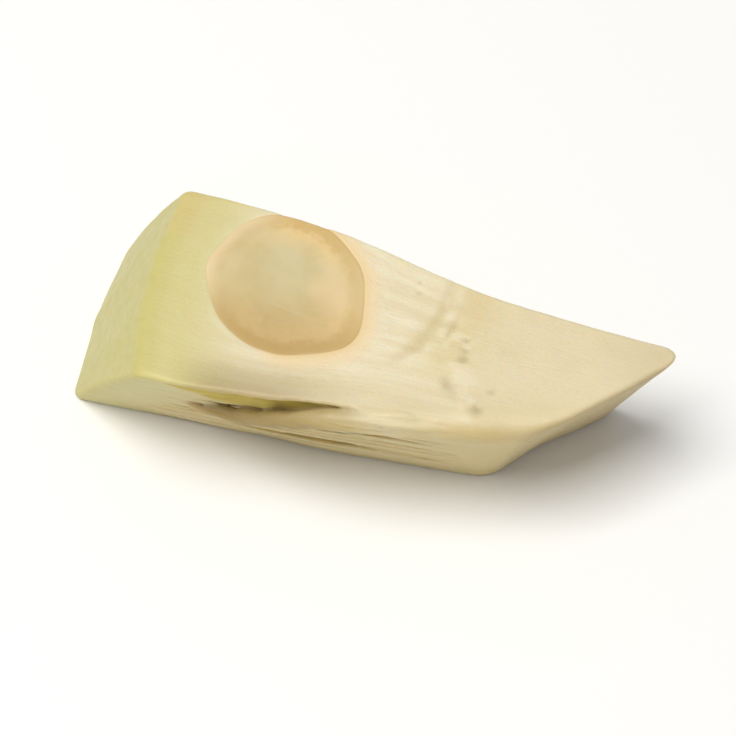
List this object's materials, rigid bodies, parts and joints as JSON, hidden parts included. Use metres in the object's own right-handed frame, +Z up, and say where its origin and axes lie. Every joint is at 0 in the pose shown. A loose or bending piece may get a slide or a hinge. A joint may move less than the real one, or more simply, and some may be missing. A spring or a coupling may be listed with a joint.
{
  "type": "young jackfruit wedge",
  "caption": "Peeled wedge of young green jackfruit, cut flat for cooking, with the seed sectioned in its upper face, fibrous sides and a pointed core end.",
  "frame": {"origin": "middle of the lower cut face that the wedge rests on", "axes": "+X along the wedge from the peeled side to the core's tip, +Z up out of the upper cut face that shows the seed, -Y out of the leaning side cut"},
  "size_m": [0.0644, 0.0262, 0.018],
  "materials": {
    "flesh": "moist cut fruit flesh, cream-white, fibrous and faintly glossy, yellow-green towards the peeled side",
    "seed": "smooth waxy cut seed, greyish cream and slightly translucent, with a peach-brown coat round its rim"
  },
  "bodies": {
    "root": {"flesh": "flesh", "seed": "seed"}
  },
  "joints": []
}
